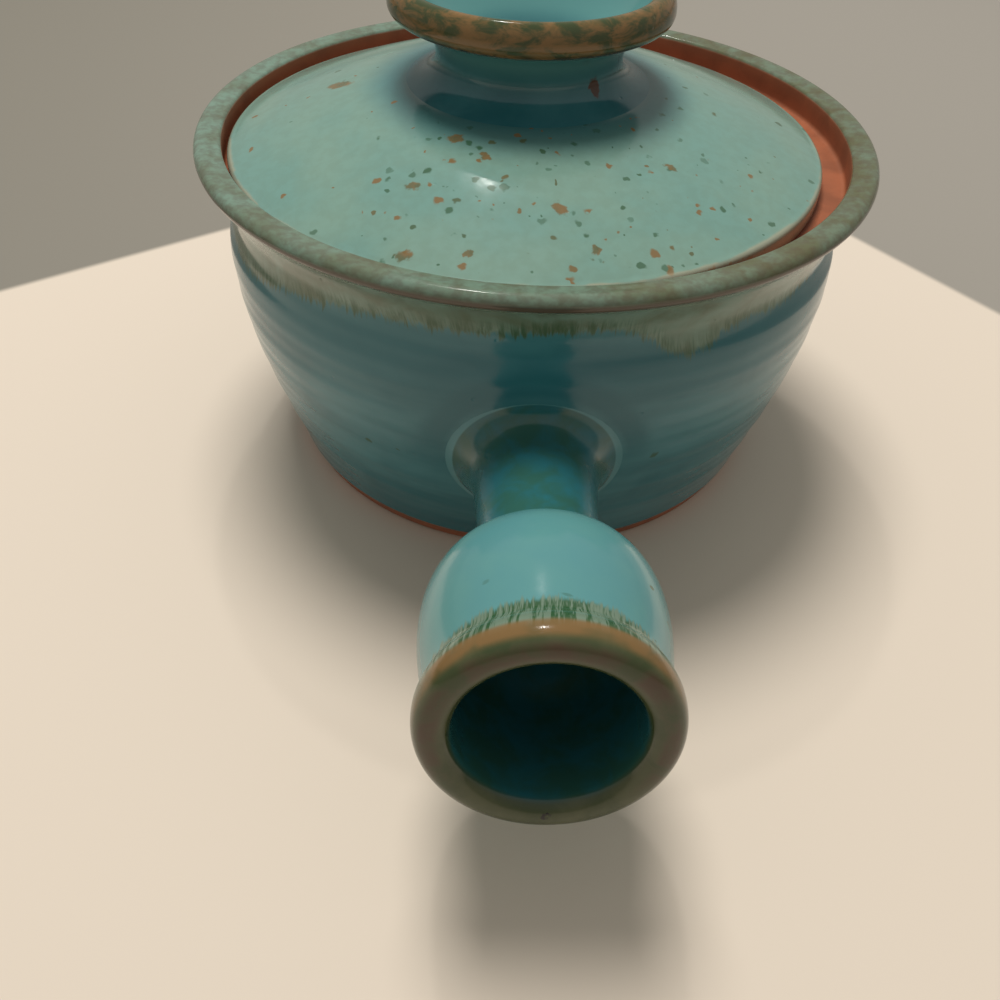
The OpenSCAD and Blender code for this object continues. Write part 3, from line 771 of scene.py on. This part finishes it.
def handle_grid(turns=192):
    """Points of the hollow handle. Outside, a cove leaves the wall square to it and runs into the
    neck; then a profile of bulb and rolled lip, the mouth and the hollow is carried round the
    handle's axis, back to the wall."""
    _, _, s, _ = sizes()
    root = wall_radius(s.root_z)
    lean = math.atan2(wall_radius(s.root_z + 0.5 * MM) - wall_radius(s.root_z - 0.5 * MM), MM)
    origin = np.array([0, -root, s.root_z])
    axis = np.array([0, -math.cos(s.tilt), math.sin(s.tilt)])
    rise = np.array([0, math.sin(s.tilt), math.cos(s.tilt)])
    right = np.array([1.0, 0, 0])
    climb = np.array([0, -math.sin(lean), math.cos(lean)])
    angle = np.arange(turns) * 2 * np.pi / turns
    across = np.cos(angle)[:, None]
    up = np.sin(angle)[:, None]

    def on_wall(reach):
        p = origin + reach * (across * right + up * climb)
        p[:, 1] = -np.sqrt(wall_radius(p[:, 2])**2 - p[:, 0]**2)
        return p

    # The cove: a cubic curve for each angle, from the wall to the plain neck
    out, step = s.root_r + s.coil, 0.2 * MM
    edge = on_wall(out)
    slope = on_wall(out + step) - edge
    slope /= np.linalg.norm(slope, axis=1)[:, None]
    # The cove ends a hair under the wall's skin, and its hidden edge goes straight into the wall
    foot = edge + np.array([0, 0.06 * MM, 0])
    plain = PLAIN_FROM
    neck = origin + axis * plain + s.root_r * (across * right + up * rise)
    t = np.linspace(0, 1, 25)[:, None, None]
    u = 1 - t
    cove = (u**3 * foot + 3 * u * u * t * (foot - slope * 4.2 * MM) + 3 * u * t * t * (neck - axis * 6.4 * MM)
            + t**3 * neck)
    sunk = edge + np.array([0, 1.5 * MM, 0])

    lip_at, end, pinch = s.length - s.lip_len, s.length, min(s.bulb_r, s.lip_r) - 1.2 * MM
    mid = (s.lip_r + s.mouth_r) / 2
    shoulder, hollow_r = lip_at + 0.55 * s.lip_len, s.bulb_r - BULB_WALL
    skin_run = join(
        bend([s.root_r, plain], [s.root_r - 0.3 * MM, plain + 5 * MM], [s.neck_r, s.crease - 12 * MM],
             [s.neck_r, s.crease - 0.6 * MM], 30)[1:],
        bend([s.neck_r, s.crease - 0.6 * MM], [s.neck_r, s.crease],
             [s.neck_r + 0.4 * MM, s.crease + 0.05 * MM], [s.neck_r + 1.0 * MM, s.crease + 0.12 * MM], 8),
        bend([s.neck_r + 1.0 * MM, s.crease + 0.12 * MM], [s.neck_r + 5 * MM, s.crease + 0.9 * MM],
             [s.bulb_r, s.bulb_at - 9.5 * MM], [s.bulb_r, s.bulb_at], 40),
        bend([s.bulb_r, s.bulb_at], [s.bulb_r, s.bulb_at + 5.5 * MM],
             [pinch + 0.2 * MM, lip_at - 3 * MM], [pinch, lip_at]),
        bend([pinch, lip_at], [pinch, lip_at + 1.6 * MM], [s.lip_r, lip_at + 1.8 * MM], [s.lip_r, shoulder]),
        bend([s.lip_r, shoulder], [s.lip_r, end - 1.2 * MM], [s.lip_r - MM, end], [mid, end], 16),
        bend([mid, end], [s.mouth_r + MM, end], [s.mouth_r, end - MM], [s.mouth_r, end - 2.8 * MM], 16),
        bend([s.mouth_r, end - 2.8 * MM], [s.mouth_r, lip_at],
             [hollow_r, s.bulb_at + 6 * MM], [hollow_r, s.bulb_at]),
        bend([hollow_r, s.bulb_at], [hollow_r, s.bulb_at - 8 * MM],
             [s.bore_r + 3 * MM, s.crease + 3 * MM], [s.bore_r, s.crease], 40),
        [[s.bore_r, -1.5 * MM]])
    skin_run = fill(skin_run, 1.2 * MM)
    r, far = skin_run[:, 0, None, None], skin_run[:, 1, None, None]
    tube = origin + axis * far + r * (across * right + up * rise)
    return np.concatenate([sunk[None], cove, tube])


class SOUPBOWL_OT_handle(bpy.types.Operator):
    """Throws the hollow handle and smooths its root into the bowl's wall"""

    bl_idname = "soupbowl.handle"
    bl_label = "Handle"

    def execute(self, context):
        piece = skin("hollow_handle", handle_grid(), ends="ring")
        finish_piece(piece, handle_glaze(), "pot", "handle_glaze", "handle", "handle_root_coil")
        return {"FINISHED"}


def handle_glaze():
    """Turquoise glaze with short dark dashes, a green fringe behind the lip, an ochre crest, an olive
    face and a dark inside."""
    c = sizes()[3]
    w, place, close = new_material("handle_glaze")
    own = handle_place(w, place)
    radius, out, around = w.use("Turned place", Vector=own)
    cloud = w.use("Glaze cloud", Vector=w.place(own, scale=(1, 1, 1.5)), Scale=60.0)[0]
    patch, _ = w.use("Glaze cloud", Vector=own, Scale=150.0)
    base = w.mix(w.math("MULTIPLY", cloud, 0.45), c.turquoise, c.teal)
    base = w.mix(w.math("MULTIPLY", w.step(out, 9 * MM, 1 * MM), 0.8), base, c.teal)

    drawn_out = w.place(own, rotation=(0, 0, 0.4), scale=(0.55, 0.55, 1.3))
    dashes, shade = w.use("Glaze specks", Vector=drawn_out, Scale=380.0, Size=0.26, Share=0.16, Seed=2.0)
    base = w.mix(w.math("MULTIPLY", dashes, w.step(shade, 0.0, 1.0, 0.3, 0.9)), base, c.green)
    scar = w.use("Glaze spot", Vector=own, Centre=(0.0, 10.9 * MM, 15.0 * MM), Size=0.9 * MM, Stretch=3.0)[0]
    base = w.mix(w.math("MULTIPLY", scar, 0.8), base, c.olive)

    # The run of thin glaze over the lip: fringe, crest and face
    turn = w.parts(around)
    edge = w.math("SUBTRACT", out, w.math("SUBTRACT", 61.8 * MM, w.math("MULTIPLY", turn[1], 2.6 * MM)))
    mask, strokes = w.use("Glaze fringe", Direction=around, Place=edge, Reach=1.5 * MM, Strokes=22.0)
    thin = w.mix(w.step(strokes, 0.2, 0.8), c.green, w.mix(0.5, c.sage, c.olive))
    base = w.mix(mask, base, thin)
    crest = w.math("MULTIPLY", w.step(out, 64.0 * MM, 65.0 * MM), w.step(out, 67.6 * MM, 66.4 * MM))
    crest = w.math("MULTIPLY", crest, w.step(turn[1], -0.2, 0.6))
    face = w.mix(w.math("MULTIPLY", patch, 0.5), c.moss, c.olive)
    broken = w.math("MULTIPLY", w.step(radius, 14.6 * MM, 16.0 * MM), w.step(radius, 18.6 * MM, 17.4 * MM))
    broken = w.math("MULTIPLY", broken, w.step(turn[1], -0.75, -0.2))
    face = w.mix(w.math("MULTIPLY", w.math("MULTIPLY", broken, patch), 0.75), face, c.umber)
    base = w.mix(w.step(out, 64.5 * MM, 66.0 * MM), base, face)
    base = w.mix(w.math("MULTIPLY", crest, w.step(cloud, 0.0, 0.6, 0.35, 0.9)), base, c.ochre)

    # Inside, the glaze is thick and dark
    hollow = w.math("MULTIPLY", w.step(radius, 15.3 * MM, 14.2 * MM), w.step(out, 67.6 * MM, 66.2 * MM))
    bulb_inside = w.math("MULTIPLY", w.step(radius, 15.8 * MM, 15.4 * MM), w.step(out, 64.0 * MM, 62.0 * MM))
    inner = w.math("MULTIPLY", w.step(radius, 9.0 * MM, 8.0 * MM), w.step(out, 40 * MM, 34 * MM))
    hollow = w.math("MAXIMUM", w.math("MAXIMUM", hollow, bulb_inside), inner)
    base = w.mix(hollow, base, w.mix(w.math("MULTIPLY", patch, 0.6), c.deep_and_shade, c.green))
    pinhole = w.use("Glaze spot", Vector=own, Centre=(0.2 * MM, -15.5 * MM, 68.3 * MM), Size=0.45 * MM)[0]
    base = w.mix(pinhole, base, (0.004, 0.004, 0.004))

    height_out, rough = w.use("Glaze skin", Vector=place, Dullness=0.12)
    return close(base, rough, height_out)


# The stage

def aim(position, target, turn=0.0):
    """Matrix of a lamp at a position that looks at a target."""
    position = Vector(position)
    look = (Vector(target) - position).to_track_quat("-Z", "Y").to_matrix().to_4x4()
    return Matrix.Translation(position) @ look @ Matrix.Rotation(turn, 4, "Z")


def add_lamp(name, position, target, size, power, tint=(1, 1, 1), glossy=True):
    """A round soft lamp. Without glossy, it lights the glaze but isn't mirrored in it."""
    lamp = bpy.data.lights.new(name, "AREA")
    lamp.shape, lamp.size, lamp.energy, lamp.color = "DISK", size, power, tint
    made = bpy.data.objects.new(name, lamp)
    made.matrix_world = aim(position, target)
    made.visible_glossy = glossy
    bpy.context.scene.collection.objects.link(made)
    return made


class SOUPBOWL_OT_stage(bpy.types.Operator):
    """Lays the pale floor, lights it softly from above and behind, and sets the camera"""

    bl_idname = "soupbowl.stage"
    bl_label = "Stage"

    def execute(self, context):
        scene = context.scene
        half = 3.0
        mesh = bpy.data.meshes.new("floor")
        corners = [(-half, -half, 0), (half, -half, 0), (half, half, 0), (-half, half, 0)]
        mesh.from_pydata(corners, [], [(0, 1, 2, 3)])
        floor = bpy.data.objects.new("floor", mesh)
        scene.collection.objects.link(floor)
        floor.data.materials.append(self.floor_material())

        world = bpy.data.worlds.new("room")
        world.use_nodes = True
        scene.world = world
        tree = world.node_tree
        tree.nodes.clear()
        w = Wiring(tree)
        look = w.parts(w.node("ShaderNodeTexCoord").outputs["Generated"])[2]
        walls = w.mix(w.step(look, 0.05, 0.9), (0.33, 0.31, 0.27), (0.42, 0.42, 0.40))
        background = w.node("ShaderNodeBackground", {"Color": walls, "Strength": 1.0})
        w.node("ShaderNodeOutputWorld", {"Surface": background.outputs[0]})

        add_lamp("key", (-0.12, 0.30, 1.25), (0, -0.02, 0.04), 0.50, 14.5, (1.0, 0.98, 0.94), glossy=False)
        add_lamp("ceiling_lamp", (-0.10, 0.62, 1.10), (0, -0.02, 0.06), 0.05, 1.2, (1.0, 0.97, 0.92))

        camera = bpy.data.cameras.new("camera")
        camera.lens, camera.sensor_width = 36.0, 36.0
        camera.clip_start, camera.clip_end = 0.005, 20.0
        made = bpy.data.objects.new("camera", camera)
        right = Vector((0.9996, 0.0006, 0.0285)).normalized()
        look = Vector((0.0190, 0.7308, -0.6824)).normalized()
        up = right.cross(look).normalized()
        right = look.cross(up)
        made.matrix_world = Matrix.Translation(Vector((-9.940, -206.873, 155.954)) * MM) @ Matrix(
            (right, up, -look)).transposed().to_4x4()
        scene.collection.objects.link(made)
        scene.camera = made
        scene.view_settings.view_transform = "Standard"
        return {"FINISHED"}

    def floor_material(self):
        """Cream table top, grey beyond its two far edges, with painted light on the grey: darker towards -X,
        lighter towards +X.
        """
        material = bpy.data.materials.new("floor")
        material.use_nodes = True
        tree = material.node_tree
        tree.nodes.clear()
        w = Wiring(tree)
        place = w.node("ShaderNodeTexCoord").outputs["Object"]
        left = w.vector("DOT_PRODUCT", place, (-0.574, 0.819, 0))
        right = w.vector("DOT_PRODUCT", place, (0.815, 0.580, 0))
        beyond = w.math("MAXIMUM", w.step(left, 0.1195, 0.1225), w.step(right, 0.1390, 0.1420))
        # Painted light: the grey beyond the table's edges stands for the room's walls and is painted darker
        # at -X and lighter at +X
        wall = w.mix(w.step(w.parts(place)[0], -0.32, 0.28), (0.200, 0.184, 0.152), (0.305, 0.280, 0.246))
        base = w.mix(beyond, (0.67, 0.58, 0.485), wall)
        shader = w.node("ShaderNodeBsdfPrincipled", {"Base Color": base, "Roughness": 0.6})
        w.node("ShaderNodeOutputMaterial", {"Surface": shader.outputs[0]})
        return material


class SOUPBOWL_PT_panel(bpy.types.Panel):
    """Lists the pieces of the soup bowl and its sizes and colours"""

    bl_idname = "SOUPBOWL_PT_panel"
    bl_label = "Soup bowl"
    bl_space_type = "VIEW_3D"
    bl_region_type = "UI"
    bl_category = "Soup bowl"

    def draw(self, context):
        layout = self.layout
        for made in PIECES:
            layout.operator(made.bl_idname)
        for owner in ("soup_bowl", "soup_lid", "soup_handle", "soup_glaze"):
            box = layout.box()
            group = getattr(context.scene, owner)
            for key in group.__annotations__:
                box.prop(group, key)


PIECES = (SOUPBOWL_OT_bowl, SOUPBOWL_OT_handle, SOUPBOWL_OT_lid, SOUPBOWL_OT_knob, SOUPBOWL_OT_stage)
CLASSES = (BowlSizes, LidSizes, HandleSizes, GlazeColours) + PIECES + (SOUPBOWL_PT_panel,)


def register():
    for made in CLASSES:
        bpy.utils.register_class(made)
    bpy.types.Scene.soup_bowl = PointerProperty(type=BowlSizes)
    bpy.types.Scene.soup_lid = PointerProperty(type=LidSizes)
    bpy.types.Scene.soup_handle = PointerProperty(type=HandleSizes)
    bpy.types.Scene.soup_glaze = PointerProperty(type=GlazeColours)


def unregister():
    for owner in ("soup_bowl", "soup_lid", "soup_handle", "soup_glaze"):
        delattr(bpy.types.Scene, owner)
    for made in reversed(CLASSES):
        bpy.utils.unregister_class(made)


def main():
    """Makes every piece and the stage."""
    register()
    build_groups()
    bpy.ops.soupbowl.bowl()
    bpy.ops.soupbowl.handle()
    bpy.ops.soupbowl.lid()
    bpy.ops.soupbowl.knob()
    bpy.ops.soupbowl.stage()


if __name__ == "__main__":
    main()
